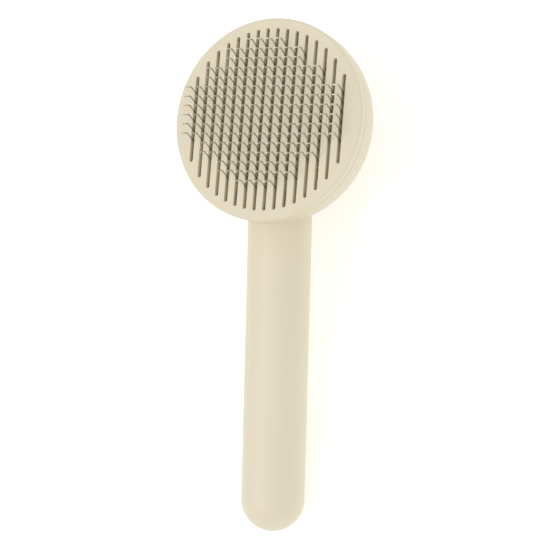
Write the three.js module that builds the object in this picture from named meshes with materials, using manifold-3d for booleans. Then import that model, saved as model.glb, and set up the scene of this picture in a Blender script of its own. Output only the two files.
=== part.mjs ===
// Slicker brush with a hair ejector. Units are millimetres.
// Row frame: the brush lies on its back with the needles up. +Z is the way the needles point,
// +Y runs to the top of the round head and the handle runs to -Y. The origin is the centre of
// the flat rear face of the push button.

import * as THREE from 'three';
import { mergeVertices } from 'three/addons/utils/BufferGeometryUtils.js';
import Module from 'manifold-3d';

const wasm = await Module();
wasm.setup();

// ---- driving dimensions ----
const FACE_Z = 45;              // front face of the slotted plate, above the button's rear face
const HEAD_R = 38;              // outside radius of the round head
const HEAD_SEGMENTS = 48;

const SLOT_COUNT = 16;
const SLOT_PITCH = 4;
const SLOT_WIDTH = 1.3;
const SLOT_FIELD_R = 34.15;     // the slot ends lie on this circle

const CAP_PLATE = 2;            // thickness of the slotted plate
const CAP_DEPTH = 4;            // face to the parting line on the side wall
const CAP_EDGE = 0.9;           // rounding of the front edge
const SPIGOT_R = [34.4, 35.7];  // locating ring under the cap, inside and outside radius
const SPIGOT_DEPTH = 7;         // face to the lower end of the locating ring
const LEG = { x: 20, y: 19.8, wide: 2.2, long: 2.8, bottom: 24.6 };

const WALL_DEPTH = 7.6;         // the side wall is straight down to this depth below the face
const CORNER_R = 15.5;          // how far the rear corner draws in
const CORNER_H = 18.4;          // how deep the rear corner is
const CORNER_STEPS = 5;
const SHELL = 2;                // wall of the head
const PART_GAP = 0.3;           // parting line between cap and housing

const HANDLE_TILT = 7.19 * Math.PI / 180;
const HANDLE_DROP = 14.9;       // handle axis below the face, at the head's centre
const HANDLE_R = 12.2;
const HANDLE_WALL = 2.4;
const HANDLE_START = 34;        // centre of the rounded inner end, along the handle
const HANDLE_END = 142.9;       // centre of the rounded outer end, along the handle
const HANDLE_SEGMENTS = 24;
const HANDLE_END_STEPS = 5;
const SPLIT_GAP = 0.1;          // seam between the two halves of the housing

const COLLAR = { inner: 15.9, outer: 18.4, low: 15, high: 23.7 };
const BUTTON = { r: 15.5, wall: 1.8, face: 2.4, edge: 3, top: 23.8, bossR: 8.6, bossTop: 5.5 };

const NEEDLE_PLATE = { r: 33.9, low: 39.4, high: 42 };
const BACKING = { r: 33, low: 37.6, high: 39.3 };
const STRIP = { bar: 5, flange: 6.6, flangeHigh: 40.4, low: 39.45, end: 0.7, gap: 0.15 };

const PIN_R = 0.25;
const PIN_SIDES = 5;
const PIN_ROW_PITCH = 3.5;
const PIN_ARRAY_Y = 0.9;        // the rows sit a little towards the top of the head
const PIN_KNEE = 4.7;           // knee above the face
const PIN_TIP = 9.7;            // tip above the face
const PIN_ROOT_Z = 41.2;
const LEAN_ROOT = 20 * Math.PI / 180;   // towards the top of the head
const LEAN_TIP = 13 * Math.PI / 180;    // back towards the handle
const PINS_PER_COLUMN = [6, 10, 14, 16, 16, 14, 10, 6];   // for each strip of two columns

const FRAME = { low: 24, high: 26.3, hubR: 19, armWide: 6, cupOuter: 8.6, cupInner: 6.8,
  cupLow: 5.6, seat: 7.4 };
const SPRING = { r: 5.4, wire: 0.5, low: 8.2, high: 37, turns: 8, steps: 80 };

const PLATE_SCREW = { x: 10, y: 28.5 };
const POST_R = 2.75;
const HEAD_SCREW_X = 26;
const HEAD_SCREW_SEAT = 23;             // height of the screw head's seat
const HANDLE_SCREWS = [60, 122];        // along the handle
const HANDLE_SCREW_SEAT = 5.5;          // seat behind the seam plane
const SCREW = { head: 2.2, headHigh: 1.6, shank: 1.1 };
const PILOT_R = 1.25;

const CREAM = 0xe2d8be;
const INNER = 0xd3c8aa;
const STEEL = 0xb9babc;

// ---- helpers ----
function solid(geometry) {
  const g = geometry.clone();
  g.deleteAttribute('normal');
  g.deleteAttribute('uv');
  const merged = mergeVertices(g, 1e-4);
  const pos = merged.attributes.position.array;
  const index = merged.index.array;
  const tris = [];
  let volume = 0;
  const a = new THREE.Vector3(), b = new THREE.Vector3(), c = new THREE.Vector3();
  for (let i = 0; i < index.length; i += 3) {
    const [p, q, r] = [index[i], index[i + 1], index[i + 2]];
    if (p === q || q === r || r === p) continue;
    a.fromArray(pos, 3 * p); b.fromArray(pos, 3 * q); c.fromArray(pos, 3 * r);
    volume += a.dot(b.cross(c));
    tris.push(p, q, r);
  }
  if (volume < 0) {
    for (let i = 0; i < tris.length; i += 3) [tris[i + 1], tris[i + 2]] = [tris[i + 2], tris[i + 1]];
  }
  return new wasm.Manifold(new wasm.Mesh({
    numProp: 3, vertProperties: new Float32Array(pos), triVerts: new Uint32Array(tris),
  }));
}

function join(list) {
  return list.reduce((sum, item) => sum.add(item));
}

function lathe(points, segments = HEAD_SEGMENTS) {
  const profile = points.map(([r, z]) => new THREE.Vector2(r, z));
  const g = new THREE.LatheGeometry(profile, segments);
  g.rotateX(Math.PI / 2);
  return solid(g);
}

function disc(r, low, high, x = 0, y = 0, segments = 24) {
  const g = new THREE.CylinderGeometry(r, r, high - low, segments);
  g.rotateX(Math.PI / 2);
  g.translate(x, y, (low + high) / 2);
  return solid(g);
}

function tube(inner, outer, low, high, segments = HEAD_SEGMENTS) {
  return lathe([[inner, low], [outer, low], [outer, high], [inner, high], [inner, low]], segments);
}

function block(x0, x1, y0, y1, z0, z1) {
  const g = new THREE.BoxGeometry(x1 - x0, y1 - y0, z1 - z0);
  g.translate((x0 + x1) / 2, (y0 + y1) / 2, (z0 + z1) / 2);
  return solid(g);
}

// A flat bar from one point to another in plan, between two heights.
function web(x0, y0, x1, y1, wide, low, high) {
  const length = Math.hypot(x1 - x0, y1 - y0);
  const g = new THREE.BoxGeometry(length, wide, high - low);
  g.rotateZ(Math.atan2(y1 - y0, x1 - x0));
  g.translate((x0 + x1) / 2, (y0 + y1) / 2, (low + high) / 2);
  return solid(g);
}

// The handle has its own frame: its axis lies in the seam plane, and its local z rises
// square to that plane.
function inHandle(geometry) {
  geometry.rotateX(HANDLE_TILT);
  geometry.translate(0, 0, FACE_Z - HANDLE_DROP);
  return solid(geometry);
}

function handleDisc(r, along, low, high, segments = 16) {
  const g = new THREE.CylinderGeometry(r, r, high - low, segments);
  g.rotateX(Math.PI / 2);
  g.translate(0, -along, (low + high) / 2);
  return inHandle(g);
}

function corners(x, y) {
  return [[x, y], [-x, y], [-x, -y], [x, -y]];
}

function mesh(name, body, colour, roughness, metalness = 0) {
  const m = body.getMesh();
  const g = new THREE.BufferGeometry();
  g.setAttribute('position', new THREE.BufferAttribute(new Float32Array(m.vertProperties), 3));
  g.setIndex(Array.from(m.triVerts));
  const material = new THREE.MeshStandardMaterial({ color: colour, roughness, metalness });
  const result = new THREE.Mesh(g, material);
  result.name = name;
  return result;
}

// ---- housing ----
function cornerProfile(offset) {
  const points = [];
  for (let i = 0; i <= CORNER_STEPS; i += 1) {
    const a = i / CORNER_STEPS * Math.PI / 2;
    const nr = Math.cos(a) / CORNER_R, nz = Math.sin(a) / CORNER_H;
    const n = Math.hypot(nr, nz);
    points.push([
      HEAD_R - CORNER_R * (1 - Math.cos(a)) - offset * nr / n,
      FACE_Z - WALL_DEPTH - CORNER_H * Math.sin(a) + offset * nz / n,
    ]);
  }
  return points;
}

function headSolid(offset, top) {
  const corner = cornerProfile(offset);
  const floor = corner[corner.length - 1][1];
  return lathe([[0, top], [corner[0][0], top], ...corner, [0, floor]]);
}

function handleSolid(r) {
  const points = [];
  for (let i = 0; i <= HANDLE_END_STEPS; i += 1) {
    const a = i / HANDLE_END_STEPS * Math.PI / 2;
    points.push(new THREE.Vector2(r * Math.sin(a), -HANDLE_END - r * Math.cos(a)));
  }
  for (let i = 0; i <= HANDLE_END_STEPS; i += 1) {
    const a = i / HANDLE_END_STEPS * Math.PI / 2;
    points.push(new THREE.Vector2(r * Math.cos(a), -HANDLE_START + r * Math.sin(a)));
  }
  return inHandle(new THREE.LatheGeometry(points, HANDLE_SEGMENTS));
}

function outerBody() {
  return headSolid(0, FACE_Z - CAP_DEPTH - PART_GAP).add(handleSolid(HANDLE_R));
}

function shell() {
  return outerBody()
    .subtract(headSolid(SHELL, FACE_Z))
    .subtract(handleSolid(HANDLE_R - HANDLE_WALL));
}

function half(front) {
  const g = new THREE.BoxGeometry(200, 500, 100);
  g.translate(0, 0, front ? 50 : -50 - SPLIT_GAP);
  return inHandle(g);
}

function frontHousing() {
  const postTop = BACKING.low - 0.05;
  const low = FACE_Z - 25;
  const parts = [];
  for (const [x, y] of corners(PLATE_SCREW.x, PLATE_SCREW.y)) {
    const k = (HEAD_R - SHELL / 2) / Math.hypot(x, y);
    parts.push(disc(POST_R, low, postTop, x, y, 12), web(x, y, x * k, y * k, 2, low, postTop));
  }
  for (const x of [-HEAD_SCREW_X, HEAD_SCREW_X]) {
    const wall = Math.sign(x) * (HEAD_R - SHELL / 2);
    parts.push(disc(3, low, postTop, x, 0, 12), web(x, 0, wall, 0, 2, low, postTop));
  }
  for (const s of HANDLE_SCREWS) parts.push(handleDisc(3, s, -2, HANDLE_R - 1.5));
  const bosses = join(parts).intersect(outerBody());
  const pilots = [
    ...corners(PLATE_SCREW.x, PLATE_SCREW.y).map(([x, y]) => disc(PILOT_R, 30, FACE_Z, x, y, 8)),
    ...[-HEAD_SCREW_X, HEAD_SCREW_X].map((x) => disc(PILOT_R, 25, 36.4, x, 0, 8)),
    ...HANDLE_SCREWS.map((s) => handleDisc(PILOT_R, s, -4, 6.5, 8)),
  ];
  return shell().add(bosses).intersect(half(true)).subtract(join(pilots));
}

function rearHousing() {
  const parts = [-HEAD_SCREW_X, HEAD_SCREW_X].map((x) => disc(4, 15, 40, x, 0, 16));
  for (const s of HANDLE_SCREWS) parts.push(handleDisc(3.6, s, -HANDLE_R, 2));
  const bosses = join(parts).intersect(outerBody());
  const cuts = [
    disc(COLLAR.inner, 0, 60, 0, 0, 40),
    ...[-HEAD_SCREW_X, HEAD_SCREW_X].flatMap((x) => [
      disc(2.7, 0, HEAD_SCREW_SEAT, x, 0, 16), disc(1.5, 20, 40, x, 0, 8)]),
    ...HANDLE_SCREWS.flatMap((s) => [
      handleDisc(2.7, s, -20, -HANDLE_SCREW_SEAT), handleDisc(1.5, s, -10, 5, 8)]),
  ];
  const rim = COLLAR.outer - 0.8;
  const collar = lathe([[COLLAR.inner - 1, COLLAR.low], [rim, COLLAR.low],
    [COLLAR.outer, COLLAR.low + 0.8], [COLLAR.outer, COLLAR.high],
    [COLLAR.inner - 1, COLLAR.high], [COLLAR.inner - 1, COLLAR.low]], 40);
  return shell().add(bosses).intersect(half(false)).add(collar).subtract(join(cuts));
}

// ---- fixed needle stack ----
function legOpening(grow) {
  return corners(LEG.x, LEG.y).map(([x, y]) => block(
    x - LEG.wide / 2 - grow, x + LEG.wide / 2 + grow,
    y - LEG.long / 2 - grow, y + LEG.long / 2 + grow, 20, FACE_Z));
}

function stripX(i) {
  return (i - 3.5) * 2 * SLOT_PITCH;
}

// Ends of a strip along Y, from where its first and last needles leave it.
function stripEnds(i) {
  const reach = (PINS_PER_COLUMN[i] - 1) / 2 * PIN_ROW_PITCH;
  const middle = PIN_ARRAY_Y - (FACE_Z - NEEDLE_PLATE.high) * Math.tan(LEAN_ROOT);
  return [middle - reach - STRIP.end, middle + reach + STRIP.end];
}

function needlePlate() {
  const cuts = legOpening(0.3);
  for (let i = 0; i < PINS_PER_COLUMN.length; i += 1) {
    const x = stripX(i);
    const [y0, y1] = stripEnds(i);
    const bar = STRIP.bar / 2 + STRIP.gap, flange = STRIP.flange / 2 + STRIP.gap;
    cuts.push(block(x - bar, x + bar, y0 - STRIP.gap, y1 + STRIP.gap, 30, 60));
    cuts.push(block(x - flange, x + flange, y0 - STRIP.gap, y1 + STRIP.gap,
      30, STRIP.flangeHigh + STRIP.gap));
  }
  for (const [x, y] of corners(PLATE_SCREW.x, PLATE_SCREW.y)) {
    cuts.push(disc(1.4, 30, 60, x, y, 8));
    cuts.push(disc(SCREW.head + 0.25, NEEDLE_PLATE.high - SCREW.headHigh, 60, x, y, 16));
  }
  return disc(NEEDLE_PLATE.r, NEEDLE_PLATE.low, NEEDLE_PLATE.high, 0, 0, HEAD_SEGMENTS)
    .subtract(join(cuts));
}

function needleBacking() {
  const cuts = legOpening(0.3);
  for (const [x, y] of corners(PLATE_SCREW.x, PLATE_SCREW.y)) cuts.push(disc(1.4, 30, 60, x, y, 8));
  return disc(BACKING.r, BACKING.low, BACKING.high, 0, 0, HEAD_SEGMENTS).subtract(join(cuts));
}

// One bent needle. It leans to the head's top up to the knee, then back towards the handle.
function needle(x, y) {
  const root = PIN_ROOT_Z, knee = FACE_Z + PIN_KNEE, tip = FACE_Z + PIN_TIP;
  const g = new THREE.CylinderGeometry(PIN_R, PIN_R, 2, PIN_SIDES, 2);
  g.rotateX(Math.PI / 2);
  const p = g.attributes.position;
  for (let i = 0; i < p.count; i += 1) {
    const level = p.getZ(i);
    const z = level < -0.5 ? root : level > 0.5 ? tip : knee;
    const lean = (Math.min(z, knee) - FACE_Z) * Math.tan(LEAN_ROOT)
      - Math.max(z - knee, 0) * Math.tan(LEAN_TIP);
    p.setXYZ(i, p.getX(i) + x, p.getY(i) + y + lean, z);
  }
  return solid(g);
}

function pinStrip(i) {
  const x = stripX(i);
  const [y0, y1] = stripEnds(i);
  const bar = STRIP.bar / 2, flange = STRIP.flange / 2;
  const count = PINS_PER_COLUMN[i];
  const pins = [];
  for (const side of [-1, 1]) {
    for (let row = 0; row < count; row += 1) {
      const y = PIN_ARRAY_Y + (row - (count - 1) / 2) * PIN_ROW_PITCH;
      pins.push(needle(x + side * SLOT_PITCH / 2, y));
    }
  }
  return block(x - bar, x + bar, y0, y1, STRIP.low, NEEDLE_PLATE.high)
    .add(block(x - flange, x + flange, y0, y1, STRIP.low, STRIP.flangeHigh))
    .add(join(pins));
}

// ---- ejector ----
function slot(i) {
  const x = (i - (SLOT_COUNT - 1) / 2) * SLOT_PITCH;
  const half = Math.sqrt(SLOT_FIELD_R ** 2 - x ** 2);
  const r = SLOT_WIDTH / 2;
  const shape = new THREE.Shape();
  for (let end = 0; end < 2; end += 1) {
    for (let k = 0; k <= 3; k += 1) {
      const a = end * Math.PI + k / 3 * Math.PI;
      const y = Math.sin(a) * r + (end === 0 ? half - r : r - half);
      if (end === 0 && k === 0) shape.moveTo(x + Math.cos(a) * r, y);
      else shape.lineTo(x + Math.cos(a) * r, y);
    }
  }
  const g = new THREE.ExtrudeGeometry(shape, { depth: 10, bevelEnabled: false });
  g.translate(0, 0, FACE_Z - 5);
  return solid(g);
}

function ejectorCap() {
  const under = FACE_Z - CAP_PLATE, skirt = FACE_Z - CAP_DEPTH, low = FACE_Z - SPIGOT_DEPTH;
  const [inner, outer] = SPIGOT_R;
  const e = CAP_EDGE;
  const body = lathe([[0, FACE_Z], [HEAD_R - e, FACE_Z], [HEAD_R - 0.3 * e, FACE_Z - 0.3 * e],
    [HEAD_R, FACE_Z - e], [HEAD_R, skirt], [outer, skirt], [outer, low], [inner, low],
    [inner, under], [0, under]]);
  const legs = corners(LEG.x, LEG.y).map(([x, y]) => block(
    x - LEG.wide / 2, x + LEG.wide / 2, y - LEG.long / 2, y + LEG.long / 2,
    LEG.bottom, under + 0.5));
  const slots = Array.from({ length: SLOT_COUNT }, (_, i) => slot(i));
  return body.add(join(legs)).subtract(join(slots));
}

function ejectorFrame() {
  const arms = corners(LEG.x, LEG.y).map(([x, y]) =>
    web(0, 0, x * 1.03, y * 1.03, FRAME.armWide, FRAME.low, FRAME.high));
  const cup = disc(FRAME.cupOuter, FRAME.cupLow, FRAME.high, 0, 0, 28);
  const hub = disc(FRAME.hubR, FRAME.low, FRAME.high, 0, 0, 32);
  const sockets = corners(LEG.x, LEG.y).map(([x, y]) => block(
    x - LEG.wide / 2 - 0.12, x + LEG.wide / 2 + 0.12,
    y - LEG.long / 2 - 0.12, y + LEG.long / 2 + 0.12, LEG.bottom - 0.1, 40));
  const room = headSolid(SHELL + 0.4, FACE_Z);
  return join([hub, cup, ...arms.map((arm) => arm.intersect(room))])
    .subtract(disc(FRAME.cupInner, FRAME.seat, 40, 0, 0, 24))
    .subtract(disc(1.5, 0, 40, 0, 0, 8))
    .subtract(join(sockets));
}

function pushButton() {
  const { r, wall, face, edge, top, bossR, bossTop } = BUTTON;
  const outer = [];
  for (let i = 0; i <= 3; i += 1) {
    const a = i / 3 * Math.PI / 2;
    outer.push([r - edge + edge * Math.sin(a), edge - edge * Math.cos(a)]);
  }
  const pilot = PILOT_R;
  return lathe([[0, 0], ...outer, [r, top], [r - wall, top], [r - wall, face],
    [bossR, face], [bossR, bossTop], [pilot, bossTop], [pilot, face], [0, face]], 40);
}

// Coil spring, drawn as a round wire along a helix.
function returnSpring() {
  const { r, wire, low, high, turns, steps } = SPRING;
  const points = [];
  for (let i = 0; i <= steps; i += 1) {
    const a = i / steps * turns * 2 * Math.PI;
    points.push(new THREE.Vector3(r * Math.cos(a), r * Math.sin(a),
      low + i / steps * (high - low)));
  }
  const section = new THREE.Shape();
  for (let k = 0; k < 6; k += 1) {
    const a = k / 6 * 2 * Math.PI;
    if (k === 0) section.moveTo(wire * Math.cos(a), wire * Math.sin(a));
    else section.lineTo(wire * Math.cos(a), wire * Math.sin(a));
  }
  return solid(new THREE.ExtrudeGeometry(section, {
    steps, bevelEnabled: false, extrudePath: new THREE.CatmullRomCurve3(points),
  }));
}

// ---- screws ----
// A cross-recess screw along +z or -z, its head's underside at z = 0.
function screwBody(length) {
  const head = disc(SCREW.head, 0, SCREW.headHigh, 0, 0, 16);
  const shank = disc(SCREW.shank, -length, 0.3, 0, 0, 8);
  const low = SCREW.headHigh - 0.8, high = SCREW.headHigh + 1;
  return head.add(shank)
    .subtract(block(-1.3, 1.3, -0.3, 0.3, low, high))
    .subtract(block(-0.3, 0.3, -1.3, 1.3, low, high));
}

function screw(name, length) {
  return mesh(name, screwBody(length), STEEL, 0.35, 1);
}

function plateScrew(name, x, y) {
  const m = screw(name, 8.5);
  m.position.set(x, y, NEEDLE_PLATE.high - SCREW.headHigh + 0.05);
  return m;
}

function headScrew(name, x) {
  const m = screw(name, 10.5);
  m.rotation.x = Math.PI;
  m.position.set(x, 0, HEAD_SCREW_SEAT - 0.05);
  return m;
}

function handleScrew(name, along) {
  const m = screw(name, 10.5);
  const seat = -HANDLE_SCREW_SEAT - 0.05;
  m.rotation.x = Math.PI + HANDLE_TILT;
  m.position.set(0, -along * Math.cos(HANDLE_TILT) - seat * Math.sin(HANDLE_TILT),
    FACE_Z - HANDLE_DROP - along * Math.sin(HANDLE_TILT) + seat * Math.cos(HANDLE_TILT));
  return m;
}

function buttonScrew(name) {
  const m = screw(name, 4.2);
  m.position.set(0, 0, FRAME.seat + 0.05);
  return m;
}

// ---- assembly ----
const group = new THREE.Group();
group.name = 'slicker_brush';

group.add(mesh('front_housing', frontHousing(), CREAM, 0.45));
group.add(mesh('rear_housing', rearHousing(), CREAM, 0.45));
group.add(mesh('needle_plate', needlePlate(), INNER, 0.6));
group.add(mesh('needle_backing', needleBacking(), INNER, 0.6));
for (let i = 0; i < PINS_PER_COLUMN.length; i += 1) {
  group.add(mesh(`pin_strip_${i + 1}`, pinStrip(i), STEEL, 0.3, 1));
}
corners(PLATE_SCREW.x, PLATE_SCREW.y).forEach(([x, y], i) => {
  group.add(plateScrew(`plate_screw_${i + 1}`, x, y));
});
[-HEAD_SCREW_X, HEAD_SCREW_X].forEach((x, i) => {
  group.add(headScrew(`head_screw_${i + 1}`, x));
});
HANDLE_SCREWS.forEach((s, i) => {
  group.add(handleScrew(`handle_screw_${i + 1}`, s));
});
group.add(mesh('ejector_cap', ejectorCap(), CREAM, 0.45));
group.add(mesh('ejector_frame', ejectorFrame(), INNER, 0.6));
group.add(mesh('push_button', pushButton(), CREAM, 0.45));
group.add(buttonScrew('button_screw'));
group.add(mesh('return_spring', returnSpring(), STEEL, 0.35, 1));

export default group;
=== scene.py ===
"""Looks for the slicker brush: finer shells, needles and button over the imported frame."""
import math

import bmesh
import bpy
from mathutils import Matrix, Vector, geometry


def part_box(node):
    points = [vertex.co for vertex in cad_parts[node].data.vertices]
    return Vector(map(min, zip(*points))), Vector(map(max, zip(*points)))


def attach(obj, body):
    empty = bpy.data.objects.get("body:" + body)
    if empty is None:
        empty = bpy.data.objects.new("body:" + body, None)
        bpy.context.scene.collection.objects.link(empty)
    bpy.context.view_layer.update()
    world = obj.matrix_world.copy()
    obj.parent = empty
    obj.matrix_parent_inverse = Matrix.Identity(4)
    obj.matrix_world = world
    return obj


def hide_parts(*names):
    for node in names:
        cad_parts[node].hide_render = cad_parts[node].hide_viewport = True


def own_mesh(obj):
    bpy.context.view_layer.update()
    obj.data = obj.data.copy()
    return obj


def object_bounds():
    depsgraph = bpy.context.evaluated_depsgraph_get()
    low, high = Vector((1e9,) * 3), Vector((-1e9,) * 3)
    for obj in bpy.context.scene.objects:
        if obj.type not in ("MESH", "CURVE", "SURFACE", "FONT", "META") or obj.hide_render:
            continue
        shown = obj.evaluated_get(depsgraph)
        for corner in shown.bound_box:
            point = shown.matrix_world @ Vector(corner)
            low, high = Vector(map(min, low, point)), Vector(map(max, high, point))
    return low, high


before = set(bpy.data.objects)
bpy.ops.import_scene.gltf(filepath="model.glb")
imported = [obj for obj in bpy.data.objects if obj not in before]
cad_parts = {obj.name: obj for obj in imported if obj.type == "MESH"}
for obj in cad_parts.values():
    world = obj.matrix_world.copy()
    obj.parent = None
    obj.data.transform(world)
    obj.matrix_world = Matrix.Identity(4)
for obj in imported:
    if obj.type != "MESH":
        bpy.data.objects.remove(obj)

cad_low, cad_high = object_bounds()
scene = bpy.context.scene
MM = 0.001


# ---------------------------------------------------------------- sizes, in millimetres
def mm(corner):
    return Vector(corner) / MM


cap_low, cap_high = (mm(corner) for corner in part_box("ejector_cap"))
button_high = mm(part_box("push_button")[1])
plate_top = mm(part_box("needle_plate")[1]).z
backing_bottom = mm(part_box("needle_backing")[0]).z
needle_top = mm(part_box("pin_strip_4")[1]).z

FACE_Z = cap_high.z
HEAD_R = cap_high.x
PART_GAP, PART_EDGE = 0.22, 0.1            # the line between the cap and the housing
CAP_PLATE, CAP_DEPTH, CAP_EDGE = 2.0, 4.0, 0.9
SPIGOT_IN, SPIGOT_OUT, SPIGOT_DEPTH, SPIGOT_EDGE = 34.4, 35.7, 7.0, 0.2
LEG_X, LEG_Y, LEG_WIDE, LEG_LONG, LEG_EDGE = 20.0, 19.8, 2.2, 2.8, 0.15

SLOT_COUNT, SLOT_PITCH, SLOT_WIDTH, SLOT_FIELD_R = 16, 4.0, 1.3, 34.15
SLOT_EDGE = 0.16
SLOT_CENTRES = [(i - (SLOT_COUNT - 1) / 2) * SLOT_PITCH for i in range(SLOT_COUNT)]

WALL_DEPTH, CORNER_R, CORNER_H, SHELL = 7.6, 15.5, 18.4, 2.0
INTO_WALL = 1.0                            # how far a boss starts inside the wall
HANDLE_TILT = math.radians(7.19)
HANDLE_DROP, HANDLE_R, HANDLE_WALL = 14.9, 12.2, 2.4
HANDLE_START, HANDLE_END = 34.0, 142.8
SEAM_Z = FACE_Z - HANDLE_DROP              # the seam of the two halves, at the head's centre
SEAM_GAP, SEAM_EDGE, SEAM_ANGLE = 0.03, 0.05, 55
COLLAR_IN, COLLAR_OUT, COLLAR_LOW, COLLAR_HIGH, COLLAR_EDGE = 15.9, 18.4, 15.0, 23.7, 0.8

PINS_PER_COLUMN = (6, 10, 14, 16, 16, 14, 10, 6)
PIN_R, PIN_ROW, PIN_KNEE, PIN_ARRAY_Y = 0.25, 3.5, 4.7, 0.9
PIN_ROOT = plate_top - FACE_Z - 0.6        # every height of a needle is from the cap's face
PIN_TIP = needle_top - FACE_Z - 0.05
LEAN_ROOT, LEAN_TIP = math.radians(20), math.radians(13)
BEND_R, BEND_STEPS = 2.2, 6
TIP_ROUNDING = ((0.6, 1.0), (0.2, 0.92), (0.0, 0.68))   # way back from the tip, size, in radii
CARRIER_WIDE, CARRIER_EDGE = 5.0, 0.12
# Heights over the face between which the needles turn from painted shade on the legs to a painted
# highlight on the tips.
PIN_SHADE_TO, PIN_HIGHLIGHT_FROM = 5.0, 7.4

SCREW_HEAD_HOLE_R, SCREW_HOLE_R = 2.7, 1.5
PLATE_SCREW_X, PLATE_SCREW_Y, PLATE_POST_R = 10.0, 28.5, 2.75
HEAD_SCREW_X, HEAD_SCREW_SEAT, HEAD_BOSS_R = 26.0, 23.0, 4.0
HANDLE_SCREWS, HANDLE_SCREW_SEAT, HANDLE_BOSS_R = (60.0, 122.0), 5.5, 3.6
POST_R, POST_EDGE, POST_TOP_GAP = 3.0, 0.2, 0.05
POST_CLEAR = 0.5     # posts and bosses in the head end this far from the seam
HANDLE_POST_END, HANDLE_BOSS_START = 1.8, 2.0   # from the handle's outer surface, in its wall

BUTTON_WALL, BUTTON_FACE, BUTTON_EDGE, BUTTON_RIM_EDGE = 1.8, 2.4, 3.0, 0.3

SPRING_WIRE_R, SPRING_TURNS = 0.5, 8

ROUND = 192          # sides of the turned parts
SIDES = (-1, 1)


# ---------------------------------------------------------------- mesh helpers
def new_object(name, verts, faces):
    mesh = bpy.data.meshes.new(name)
    mesh.from_pydata([tuple(v) for v in verts], [], faces)
    mesh.validate()
    obj = bpy.data.objects.new(name, mesh)
    scene.collection.objects.link(obj)
    return obj


def weld(obj):
    """Merges the seams between strips and turns every face outwards. Works in millimetres."""
    bm = bmesh.new()
    bm.from_mesh(obj.data)
    bmesh.ops.remove_doubles(bm, verts=bm.verts, dist=1e-4)
    bmesh.ops.recalc_face_normals(bm, faces=bm.faces)
    bm.to_mesh(obj.data)
    bm.free()
    return obj


def revolve(profile, sides=ROUND):
    """A turned solid about Z. The profile is (radius, z) and may touch the axis at its ends."""
    verts, faces, rings = [], [], []
    for r, z in profile:
        if r < 1e-6:
            rings.append([len(verts)] * sides)
            verts.append((0.0, 0.0, z))
            continue
        rings.append(list(range(len(verts), len(verts) + sides)))
        for i in range(sides):
            a = 2 * math.pi * i / sides
            verts.append((r * math.cos(a), r * math.sin(a), z))
    for a, b in zip(rings, rings[1:]):
        for i in range(sides):
            j = (i + 1) % sides
            quad = [a[i], a[j], b[j], b[i]]
            quad = [v for k, v in enumerate(quad) if v not in quad[:k]]
            if len(quad) > 2:
                faces.append(quad)
    return verts, faces


def rounded(corner, before, after, radius, steps=4):
    """Points that round one corner of a profile between its two neighbours."""
    c, p, n = Vector(corner), Vector(before), Vector(after)
    u, w = (p - c).normalized(), (n - c).normalized()
    half = u.angle(w) / 2
    reach = radius / math.tan(half)
    middle = c + (u + w).normalized() * (radius / math.sin(half))
    start, end = c + u * reach - middle, c + w * reach - middle
    points = []
    for k in range(steps + 1):
        t = k / steps
        turn = start.lerp(end, t)
        points.append(tuple(middle + turn.normalized() * radius))
    return points


def soften(profile, radii):
    """Rounds the corners of a profile. radii maps a point's index to its rounding."""
    out = []
    for i, point in enumerate(profile):
        if i in radii:
            out += rounded(point, profile[i - 1], profile[(i + 1) % len(profile)], radii[i])
        else:
            out.append(point)
    return out


def cylinder(r, low, high, x=0.0, y=0.0, sides=48):
    verts, faces = revolve([(0, low), (r, low), (r, high), (0, high)], sides)
    return [(a + x, b + y, c) for a, b, c in verts], faces


def box_part(x0, x1, y0, y1, z0, z1):
    verts = [(x, y, z) for z in (z0, z1) for y in (y0, y1) for x in (x0, x1)]
    faces = [(0, 2, 3, 1), (4, 5, 7, 6), (0, 1, 5, 4), (2, 6, 7, 3), (0, 4, 6, 2), (1, 3, 7, 5)]
    return verts, faces


def tube_faces(rows, count):
    """The faces between rings of count points each."""
    faces = []
    for row in range(rows - 1):
        for i in range(count):
            j = (i + 1) % count
            faces.append([row * count + i, row * count + j,
                          (row + 1) * count + j, (row + 1) * count + i])
    return faces


def together(parts):
    verts, faces = [], []
    for part_verts, part_faces in parts:
        base = len(verts)
        verts += [tuple(v) for v in part_verts]
        faces += [[base + i for i in f] for f in part_faces]
    return verts, faces


def apply_modifiers(obj):
    """Turns what the modifiers show into the object's own mesh."""
    graph = bpy.context.evaluated_depsgraph_get()
    graph.update()
    mesh = bpy.data.meshes.new_from_object(obj.evaluated_get(graph))
    obj.modifiers.clear()
    obj.data = mesh
    return obj


def boolean(obj, part, operation):
    """Joins a closed part to obj, cuts it away or keeps what they share."""
    cutter = weld(new_object("cutter", *part))
    mod = obj.modifiers.new("cut", "BOOLEAN")
    mod.operation, mod.solver, mod.object = operation, "EXACT", cutter
    apply_modifiers(obj)
    bpy.data.objects.remove(cutter)
    return obj


def clean_cuts(obj):
    """Merges the slivers that a cut leaves and the needless edges on flat faces."""
    bm = bmesh.new()
    bm.from_mesh(obj.data)
    bmesh.ops.remove_doubles(bm, verts=bm.verts, dist=0.01)
    bmesh.ops.dissolve_degenerate(bm, dist=0.01, edges=bm.edges)
    bmesh.ops.dissolve_limit(bm, angle_limit=math.radians(0.2), verts=bm.verts, edges=bm.edges)
    bm.to_mesh(obj.data)
    bm.free()


def finish_mesh(obj, bevel=0.0, angle=40, sharp=50):
    """Small rounded edges, smooth shading that keeps the real edges, then metres."""
    if bevel:
        mod = obj.modifiers.new("edges", "BEVEL")
        mod.width, mod.segments, mod.limit_method = bevel, 3, "ANGLE"
        mod.angle_limit = math.radians(angle)
        apply_modifiers(obj)
    obj.data.shade_smooth()
    obj.data.set_sharp_from_angle(angle=math.radians(sharp))
    normals = obj.modifiers.new("normals", "WEIGHTED_NORMAL")
    normals.keep_sharp = True
    apply_modifiers(obj)
    obj.data.transform(Matrix.Scale(MM, 4))
    return obj


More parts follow.
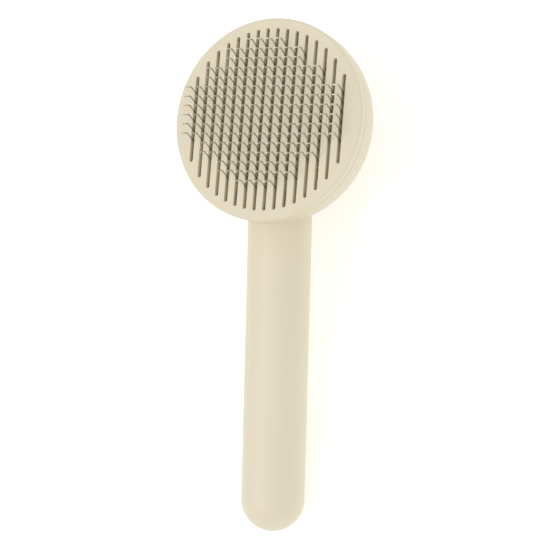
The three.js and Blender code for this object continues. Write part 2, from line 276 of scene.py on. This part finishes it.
def place(obj, body, slot, material, *nodes):
    """Gives a piece its material, the body it moves with and the CAD nodes it stands for."""
    obj.data.materials.clear()
    obj.data.materials.append(material)
    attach(obj, body)
    if nodes:
        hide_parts(*nodes)
    return obj


# ---------------------------------------------------------------- materials
def node_material(name):
    material = bpy.data.materials.new(name)
    material.use_nodes = True
    tree = material.node_tree
    shader = tree.nodes["Principled BSDF"]
    where = tree.nodes.new("ShaderNodeTexCoord")
    return material, tree, shader, where


def noise_node(tree, where, scale, detail=3.0, stretch=None):
    node = tree.nodes.new("ShaderNodeTexNoise")
    node.inputs["Scale"].default_value = scale
    node.inputs["Detail"].default_value = detail
    source = where.outputs["Object"]
    if stretch:
        mapping = tree.nodes.new("ShaderNodeMapping")
        mapping.inputs["Scale"].default_value = stretch
        tree.links.new(source, mapping.inputs["Vector"])
        source = mapping.outputs["Vector"]
    tree.links.new(source, node.inputs["Vector"])
    return node.outputs["Fac"]


def ramp(tree, value, low, high, start=0.3, end=0.7):
    node = tree.nodes.new("ShaderNodeValToRGB")
    node.color_ramp.elements[0].position, node.color_ramp.elements[1].position = start, end
    node.color_ramp.elements[0].color, node.color_ramp.elements[1].color = (*low, 1), (*high, 1)
    tree.links.new(value, node.inputs["Fac"])
    return node.outputs["Color"]


def bump(tree, shader, value, strength, distance):
    """Relief on the surface. The distance is its height in metres."""
    node = tree.nodes.new("ShaderNodeBump")
    node.inputs["Strength"].default_value = strength
    node.inputs["Distance"].default_value = distance
    tree.links.new(value, node.inputs["Height"])
    tree.links.new(node.outputs["Normal"], shader.inputs["Normal"])


def spread(colour, amount):
    """A slightly darker and a slightly lighter colour."""
    return tuple(c * (1 - amount) for c in colour), tuple(min(1, c * (1 + amount)) for c in colour)


def moulded_plastic(name, colour, rough, grain):
    """Satin moulded plastic: slow flow marks in the colour, fine grain in the gloss."""
    material, tree, shader, where = node_material(name)
    flow = noise_node(tree, where, 22.0, 2.0, (1.0, 0.35, 1.0))
    tree.links.new(ramp(tree, flow, *spread(colour, 0.018)), shader.inputs["Base Color"])
    gloss = noise_node(tree, where, 420.0, 4.0)
    tree.links.new(ramp(tree, gloss, (rough - 0.04,) * 3, (rough + 0.05,) * 3),
                   shader.inputs["Roughness"])
    bump(tree, shader, noise_node(tree, where, grain, 2.0), 0.12, 0.00004)
    shader.inputs["IOR"].default_value = 1.5
    return material


def drawn_steel(name, colour, rough, highlight_colour=None, start=0.0, end=1.0):
    """Drawn wire: fine lines along its length. It may turn with height to a second colour: on the
    needles, painted shade on the legs turns to a painted highlight on the tips.
    """
    material, tree, shader, where = node_material(name)
    lines = noise_node(tree, where, 5200.0, 2.0, (1.0, 1.0, 0.06))
    tone = ramp(tree, lines, *spread(colour, 0.08))
    # Painted highlight: the colour turns lighter with height in the object's frame.
    if highlight_colour:
        split = tree.nodes.new("ShaderNodeSeparateXYZ")
        height = tree.nodes.new("ShaderNodeMapRange")
        height.inputs["From Min"].default_value = start
        height.inputs["From Max"].default_value = end
        mix = tree.nodes.new("ShaderNodeMix")
        mix.data_type = "RGBA"
        tree.links.new(where.outputs["Object"], split.inputs["Vector"])
        tree.links.new(split.outputs["Z"], height.inputs["Value"])
        tree.links.new(height.outputs["Result"], mix.inputs["Factor"])
        tree.links.new(tone, mix.inputs["A"])
        tree.links.new(ramp(tree, lines, *spread(highlight_colour, 0.05)), mix.inputs["B"])
        tone = mix.outputs["Result"]
    tree.links.new(tone, shader.inputs["Base Color"])
    tree.links.new(ramp(tree, lines, (rough - 0.05,) * 3, (rough + 0.06,) * 3),
                   shader.inputs["Roughness"])
    bump(tree, shader, lines, 0.1, 0.00001)
    shader.inputs["Metallic"].default_value = 1.0
    return material


# The inner parts' colour is the shell's cream made darker and greyer: painted shade for the parts
# seen down in the slots.
CREAM, SHADED_INNER_CREAM = (0.81, 0.735, 0.552), (0.72, 0.68, 0.52)
# The needles' steel comes in two painted tones: the darker is painted shade on the legs, and the
# near-white is a painted highlight on the tips.
SHADED_WIRE_STEEL, HIGHLIGHT_WIRE_STEEL, ZINC = (0.51, 0.49, 0.43), (0.96, 0.95, 0.90), (0.58, 0.59, 0.60)

cream = moulded_plastic("cream_plastic", CREAM, 0.48, 2600.0)
inner = moulded_plastic("inner_plastic", SHADED_INNER_CREAM, 0.55, 1800.0)
# The needle wire: painted shade at the roots fades to a painted highlight at the tips.
wire = drawn_steel("needle_wire", SHADED_WIRE_STEEL, 0.26, HIGHLIGHT_WIRE_STEEL,
                   (FACE_Z + PIN_SHADE_TO) * MM, (FACE_Z + PIN_HIGHLIGHT_FROM) * MM)
zinc = drawn_steel("zinc_plated_steel", ZINC, 0.35)


# ---------------------------------------------------------------- slotted cap
def slot_half(x):
    """Half the distance between the centres of a slot's round ends, which meet a circle."""
    return math.sqrt(SLOT_FIELD_R ** 2 - x ** 2) - SLOT_WIDTH / 2


def slot_loop(x, grow, steps=9):
    """Outline of one slot with round ends, grown outwards."""
    half = slot_half(x)
    r = SLOT_WIDTH / 2 + grow
    loop = []
    for end, centre in ((0, half), (1, -half)):
        for k in range(steps + 1):
            a = math.pi * (end + k / steps)
            loop.append((x + r * math.cos(a), centre + r * math.sin(a)))
    return loop


def in_slot(px, py, grow):
    for x in SLOT_CENTRES:
        if math.hypot(px - x, max(abs(py) - slot_half(x), 0)) < SLOT_WIDTH / 2 + grow - 1e-3:
            return True
    return False


def slotted_sheet(radius, z):
    """One flat face of the plate, with the slots left out."""
    points, edges = [], []
    angles = [2 * math.pi * i / ROUND for i in range(ROUND)]
    loops = [[(radius * math.cos(a), radius * math.sin(a)) for a in angles]]
    loops += [slot_loop(x, SLOT_EDGE) for x in SLOT_CENTRES]
    for loop in loops:
        base = len(points)
        points += [Vector(p) for p in loop]
        edges += [(base + i, base + (i + 1) % len(loop)) for i in range(len(loop))]
    flat_verts, _, triangles, *_ = geometry.delaunay_2d_cdt(points, edges, [], 0, 1e-6)
    verts = [(v.x, v.y, z) for v in flat_verts]
    faces = []
    for face in triangles:
        cx = sum(verts[i][0] for i in face) / 3
        cy = sum(verts[i][1] for i in face) / 3
        if math.hypot(cx, cy) < radius and not in_slot(cx, cy, SLOT_EDGE):
            faces.append(list(face))
    return verts, faces


def slot_wall(x, top, bottom):
    """The wall of one slot, with both its edges rounded over."""
    rows = []
    for k in range(4):
        a = math.pi / 2 * k / 3
        rows.append((SLOT_EDGE * (1 - math.sin(a)), top - SLOT_EDGE * (1 - math.cos(a))))
    rows += [(grow, bottom + top - z) for grow, z in reversed(rows)]
    verts = [(px, py, z) for grow, z in rows for px, py in slot_loop(x, grow)]
    return verts, tube_faces(len(rows), len(verts) // len(rows))


def ejector_cap():
    """The slotted plate with its rim and locating ring in one piece, and its four legs."""
    under, skirt, low = FACE_Z - CAP_PLATE, FACE_Z - CAP_DEPTH, FACE_Z - SPIGOT_DEPTH
    flat_r = HEAD_R - 2 * CAP_EDGE
    profile = [(flat_r, FACE_Z), (HEAD_R, FACE_Z), (HEAD_R, skirt),
               (SPIGOT_OUT, skirt), (SPIGOT_OUT, low), (SPIGOT_IN, low), (SPIGOT_IN, under)]
    rim = revolve(soften(profile, {1: CAP_EDGE, 2: PART_EDGE, 4: SPIGOT_EDGE, 5: SPIGOT_EDGE}))
    parts = [rim, slotted_sheet(flat_r, FACE_Z), slotted_sheet(SPIGOT_IN, under)]
    parts += [slot_wall(x, FACE_Z, under) for x in SLOT_CENTRES]
    obj = finish_mesh(weld(new_object("slotted_cap", *together(parts))))
    legs = [box_part(sx * LEG_X - LEG_WIDE / 2, sx * LEG_X + LEG_WIDE / 2,
                     sy * LEG_Y - LEG_LONG / 2, sy * LEG_Y + LEG_LONG / 2, cap_low.z, under)
            for sx in SIDES for sy in SIDES]
    feet = finish_mesh(weld(new_object("cap_legs", *together(legs))), bevel=LEG_EDGE)
    place(obj, "ejector", "cream_shell", cream, "ejector_cap")
    place(feet, "ejector", "cream_shell", cream)


# ---------------------------------------------------------------- housing
def corner_profile(offset, steps=28):
    """The head's rounded rear corner, a quarter of an ellipse, moved inwards by offset."""
    points = []
    for i in range(steps + 1):
        a = math.pi / 2 * i / steps
        nr, nz = math.cos(a) / CORNER_R, math.sin(a) / CORNER_H
        n = math.hypot(nr, nz)
        points.append((HEAD_R - CORNER_R * (1 - math.cos(a)) - offset * nr / n,
                       FACE_Z - WALL_DEPTH - CORNER_H * math.sin(a) + offset * nz / n))
    return points


def head_solid(offset, top, edge=0.0):
    """The solid form of the head up to height top, smaller by offset all round."""
    corner = corner_profile(offset)
    profile = [(0, top), (corner[0][0], top), *corner, (0, corner[-1][1])]
    return revolve(soften(profile, {1: edge}) if edge else profile)


def to_handle(part):
    """Moves a part from the handle's own frame, whose z is square to the seam, to the row frame."""
    move = Matrix.Translation((0, 0, SEAM_Z)) @ Matrix.Rotation(HANDLE_TILT, 4, "X")
    return [tuple(move @ Vector(v)) for v in part[0]], part[1]


def handle_solid(r, sides=128, steps=20):
    """The handle as a round bar with a half ball at each end."""
    profile = []
    for i in range(steps + 1):
        a = math.pi / 2 * i / steps
        profile.append((r * math.sin(a), -HANDLE_END - r * math.cos(a)))
    for i in range(steps + 1):
        a = math.pi / 2 * i / steps
        profile.append((r * math.cos(a), -HANDLE_START + r * math.sin(a)))
    verts, faces = revolve(profile, sides)
    return to_handle(([(x, z, -y) for x, y, z in verts], faces))


def handle_cylinder(r, along, low, high):
    """A screw's post or hole in the handle, square to the seam."""
    return to_handle(cylinder(r, low, high, 0, -along))


def shell():
    """The whole hollow housing, head and handle, before it's split along the seam."""
    obj = weld(new_object("shell", *head_solid(0, FACE_Z - CAP_DEPTH - PART_GAP, PART_EDGE)))
    boolean(obj, handle_solid(HANDLE_R), "UNION")
    boolean(obj, head_solid(SHELL, FACE_Z), "DIFFERENCE")
    boolean(obj, handle_solid(HANDLE_R - HANDLE_WALL), "DIFFERENCE")
    return obj


def half_space(front):
    """A block on one side of the seam, larger than the housing."""
    low, high = (0, 100) if front else (-100 - SEAM_GAP, -SEAM_GAP)
    return to_handle(box_part(-100, 100, -250, 250, low, high))


def front_housing():
    """The front half, and the posts that the screws go into."""
    obj = shell()
    obj.name = "front_shell"
    boolean(obj, half_space(True), "INTERSECT")
    clean_cuts(obj)
    finish_mesh(obj, bevel=SEAM_EDGE, angle=SEAM_ANGLE)
    place(obj, "housing", "cream_shell", cream, "front_housing")
    slope = math.tan(HANDLE_TILT)
    post_top = backing_bottom - POST_TOP_GAP
    parts = [cylinder(PLATE_POST_R, SEAM_Z + slope * sy * PLATE_SCREW_Y + POST_CLEAR, post_top,
                      sx * PLATE_SCREW_X, sy * PLATE_SCREW_Y)
             for sx in SIDES for sy in SIDES]
    parts += [cylinder(POST_R, SEAM_Z, post_top, sx * HEAD_SCREW_X) for sx in SIDES]
    parts += [handle_cylinder(POST_R, s, 0, HANDLE_R - HANDLE_POST_END) for s in HANDLE_SCREWS]
    posts = finish_mesh(weld(new_object("screw_posts", *together(parts))), bevel=POST_EDGE)
    place(posts, "housing", "cream_shell", cream)


def rear_housing():
    """The rear half, with the button's collar, the screws' bosses and their stepped holes.

    Each hole is cut with a cylinder that runs well past the wall it opens.
    """
    obj = shell()
    obj.name = "rear_shell"
    boolean(obj, half_space(False), "INTERSECT")
    collar = [(COLLAR_IN - 1, COLLAR_LOW), (COLLAR_OUT, COLLAR_LOW), (COLLAR_OUT, COLLAR_HIGH),
              (COLLAR_IN - 1, COLLAR_HIGH), (COLLAR_IN - 1, COLLAR_LOW)]
    boolean(obj, revolve(soften(collar, {1: COLLAR_EDGE})), "UNION")
    back_z = FACE_Z - WALL_DEPTH - CORNER_H
    for sx in SIDES:
        boss = cylinder(HEAD_BOSS_R, back_z + INTO_WALL, SEAM_Z - POST_CLEAR, sx * HEAD_SCREW_X)
        boolean(obj, boss, "UNION")
    for s in HANDLE_SCREWS:
        boss = handle_cylinder(HANDLE_BOSS_R, s, HANDLE_BOSS_START - HANDLE_R, -SEAM_GAP - 0.02)
        boolean(obj, boss, "UNION")
    boolean(obj, cylinder(COLLAR_IN, 0, 60, sides=ROUND), "DIFFERENCE")
    for sx in SIDES:
        x = sx * HEAD_SCREW_X
        boolean(obj, cylinder(SCREW_HEAD_HOLE_R, 0, HEAD_SCREW_SEAT, x), "DIFFERENCE")
        boolean(obj, cylinder(SCREW_HOLE_R, 20, 40, x), "DIFFERENCE")
    for s in HANDLE_SCREWS:
        seat = handle_cylinder(SCREW_HEAD_HOLE_R, s, -20, -HANDLE_SCREW_SEAT)
        boolean(obj, seat, "DIFFERENCE")
        boolean(obj, handle_cylinder(SCREW_HOLE_R, s, -10, 5), "DIFFERENCE")
    clean_cuts(obj)
    finish_mesh(obj, bevel=SEAM_EDGE, angle=SEAM_ANGLE)
    place(obj, "housing", "cream_shell", cream, "rear_housing")


# ---------------------------------------------------------------- needles
def needle(x, y, sides=8):
    """One bent wire with a round tip. It leans to the head's top, then back past the knee."""
    knee = Vector((0, PIN_KNEE * math.tan(LEAN_ROOT), PIN_KNEE))
    first = Vector((0, math.sin(LEAN_ROOT), math.cos(LEAN_ROOT)))
    second = Vector((0, -math.sin(LEAN_TIP), math.cos(LEAN_TIP)))
    tip = knee + second * ((PIN_TIP - PIN_KNEE) / math.cos(LEAN_TIP))
    start = first * (PIN_ROOT / math.cos(LEAN_ROOT))
    turn = LEAN_ROOT + LEAN_TIP
    reach = BEND_R * math.tan(turn / 2)
    centre = knee - first * reach + Vector((0, -math.cos(LEAN_ROOT), math.sin(LEAN_ROOT))) * BEND_R
    stations = [(start, LEAN_ROOT, 1.0)]
    for k in range(BEND_STEPS + 1):
        a = LEAN_ROOT - turn * k / BEND_STEPS
        point = centre + Vector((0, math.cos(a), -math.sin(a))) * BEND_R
        stations.append((point, a, 1.0))
    for back, size in TIP_ROUNDING:
        stations.append((tip - second * back * PIN_R, -LEAN_TIP, size))
    verts = []
    for point, lean, size in stations:
        for i in range(sides):
            a = 2 * math.pi * i / sides
            u, w = math.cos(a) * PIN_R * size, math.sin(a) * PIN_R * size
            verts.append((x + u, y + point.y + w * math.cos(lean),
                          FACE_Z + point.z - w * math.sin(lean)))
    last = (len(stations) - 1) * sides
    faces = tube_faces(len(stations), sides)
    faces.append([last + i for i in range(sides)])
    faces.append(list(reversed(range(sides))))
    return verts, faces


def needle_strips():
    """Eight strips, each a carrier bar with two columns of needles.

    The bar is centred on the needles' roots, so it's shorter than its node's box, which
    the leaning needles reach past at the top end.
    """
    for i, count in enumerate(PINS_PER_COLUMN):
        node = f"pin_strip_{i + 1}"
        low, high = (mm(corner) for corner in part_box(node))
        x = (low.x + high.x) / 2
        parts = [needle(x + side * SLOT_PITCH / 2, PIN_ARRAY_Y + (row - (count - 1) / 2) * PIN_ROW)
                 for side in SIDES for row in range(count)]
        pins = new_object(f"needles_{i + 1}", *together(parts))
        pins.data.shade_smooth()
        pins.data.transform(Matrix.Scale(MM, 4))
        place(pins, "housing", "needle_steel", wire, node)
        middle = PIN_ARRAY_Y - (FACE_Z - plate_top) * math.tan(LEAN_ROOT)
        bar = box_part(x - CARRIER_WIDE / 2, x + CARRIER_WIDE / 2,
                       low.y, 2 * middle - low.y, low.z, plate_top)
        carrier = weld(new_object(f"needle_carrier_{i + 1}", *bar))
        finish_mesh(carrier, bevel=CARRIER_EDGE)
        place(carrier, "housing", "inner_plastic", inner)


# ---------------------------------------------------------------- button
def push_button():
    """A cup with its flat face at the rear and its open side to the front."""
    r, top = button_high.x, button_high.z
    profile = [(0, 0), (r, 0), (r, top), (r - BUTTON_WALL, top),
               (r - BUTTON_WALL, BUTTON_FACE), (0, BUTTON_FACE)]
    form = revolve(soften(profile, {1: BUTTON_EDGE, 2: BUTTON_RIM_EDGE, 3: BUTTON_RIM_EDGE}))
    obj = finish_mesh(weld(new_object("thumb_button", *form)))
    place(obj, "ejector", "cream_shell", cream, "push_button")


# ---------------------------------------------------------------- spring
def return_spring(per_turn=24, sides=8):
    """A coil spring with one closed turn at each end."""
    low, high = (mm(corner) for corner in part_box("return_spring"))
    radius, bottom = high.x - SPRING_WIRE_R, low.z + SPRING_WIRE_R
    rise = high.z - SPRING_WIRE_R - bottom
    closed = 2.1 * SPRING_WIRE_R
    verts = []
    for k in range(SPRING_TURNS * per_turn + 1):
        turn = k / per_turn
        if turn <= 1:
            height = bottom + closed * turn
        elif turn <= SPRING_TURNS - 1:
            height = bottom + closed + (rise - 2 * closed) * (turn - 1) / (SPRING_TURNS - 2)
        else:
            height = bottom + rise - closed * (SPRING_TURNS - turn)
        a = 2 * math.pi * turn
        for i in range(sides):
            b = 2 * math.pi * i / sides
            r = radius + SPRING_WIRE_R * math.cos(b)
            verts.append((r * math.cos(a), r * math.sin(a), height + SPRING_WIRE_R * math.sin(b)))
    last = SPRING_TURNS * per_turn * sides
    faces = tube_faces(SPRING_TURNS * per_turn + 1, sides)
    faces.append(list(reversed(range(sides))))
    faces.append([last + i for i in range(sides)])
    obj = finish_mesh(weld(new_object("coil_spring", verts, faces)))
    place(obj, "housing", "fastener_steel", zinc, "return_spring")
    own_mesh(obj)


# ---------------------------------------------------------------- make it all
ejector_cap()
front_housing()
rear_housing()
needle_strips()
push_button()
return_spring()

for node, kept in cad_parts.items():
    if node in ("needle_plate", "needle_backing", "ejector_frame"):
        kept.data.materials.clear()
        kept.data.materials.append(inner)
    elif "screw" in node:
        kept.data.materials.clear()
        kept.data.materials.append(zinc)


# ---------------------------------------------------------------- floor, light, camera, in metres
LOOK_AT = Vector((0.0, 0.0, FACE_Z * MM))
FLOOR_HALF, FLOOR_DROP, FLOOR_GLOW = 20.0, 0.0003, 0.31
HORIZON_LIGHT, ZENITH_LIGHT = 0.42, 1.03

# The head's centre is CAM_RIGHT and CAM_UP from the middle of the view.
CAM_AZIMUTH, CAM_ELEVATION, CAM_ROLL = 81.86, 64.64, -78.1
CAM_DISTANCE, CAM_LENS = 0.4992, 88.46
CAM_RIGHT, CAM_UP = -0.00339, 0.05769


def pale_floor():
    material, tree, shader, where = node_material("pale_floor")
    tone = noise_node(tree, where, 3.0, 2.0)
    tree.links.new(ramp(tree, tone, (0.93,) * 3, (0.95,) * 3), shader.inputs["Base Color"])
    shader.inputs["Roughness"].default_value = 0.9
    shader.inputs["Specular IOR Level"].default_value = 0.0
    shader.inputs["Emission Color"].default_value = (1, 1, 1, 1)
    shader.inputs["Emission Strength"].default_value = FLOOR_GLOW
    h = FLOOR_HALF
    floor = new_object("floor", [(-h, -h, 0), (h, -h, 0), (h, h, 0), (-h, h, 0)], [(0, 1, 2, 3)])
    floor.location.z = cad_low.z - FLOOR_DROP
    floor.data.materials.append(material)


def studio_sky():
    """White light from all round, weaker towards the horizon."""
    world = bpy.data.worlds.new("studio")
    world.use_nodes = True
    tree = world.node_tree
    background = tree.nodes["Background"]
    background.inputs["Color"].default_value = (1, 1, 1, 1)
    direction = tree.nodes.new("ShaderNodeTexCoord")
    split = tree.nodes.new("ShaderNodeSeparateXYZ")
    level = tree.nodes.new("ShaderNodeMapRange")
    level.inputs["To Min"].default_value = HORIZON_LIGHT
    level.inputs["To Max"].default_value = ZENITH_LIGHT
    tree.links.new(direction.outputs["Generated"], split.inputs["Vector"])
    tree.links.new(split.outputs["Z"], level.inputs["Value"])
    tree.links.new(level.outputs["Result"], background.inputs["Strength"])
    scene.world = world


def direction_from(azimuth, elevation):
    """Points away from the head. Azimuth 0 is the handle's side, 90 is +X."""
    a, e = math.radians(azimuth), math.radians(elevation)
    return Vector((math.sin(a) * math.cos(e), -math.cos(a) * math.cos(e), math.sin(e)))


def area_light(name, azimuth, elevation, distance, size, power):
    light = bpy.data.lights.new(name, "AREA")
    light.shape, light.size, light.energy = "DISK", size, power
    obj = bpy.data.objects.new(name, light)
    scene.collection.objects.link(obj)
    away = direction_from(azimuth, elevation)
    obj.location = LOOK_AT + away * distance
    obj.rotation_mode = "QUATERNION"
    obj.rotation_quaternion = (-away).to_track_quat("-Z", "Y")


def main_camera():
    away = direction_from(CAM_AZIMUTH, CAM_ELEVATION)
    roll = Matrix.Rotation(math.radians(CAM_ROLL), 3, "Z").to_quaternion()
    turn = (-away).to_track_quat("-Z", "Y") @ roll
    data = bpy.data.cameras.new("camera")
    data.lens, data.sensor_width, data.clip_start = CAM_LENS, 36.0, 0.01
    camera = bpy.data.objects.new("camera", data)
    scene.collection.objects.link(camera)
    camera.rotation_mode = "QUATERNION"
    camera.rotation_quaternion = turn
    camera.location = LOOK_AT + away * CAM_DISTANCE - turn @ Vector((CAM_RIGHT, CAM_UP, 0))
    scene.camera = camera


pale_floor()
studio_sky()
area_light("key_softbox", 309, 57, 1.2, 0.4, 2.0)
area_light("fill_softbox", 60, 40, 1.5, 1.2, 0.3)
main_camera()
scene.view_settings.view_transform = "Standard"
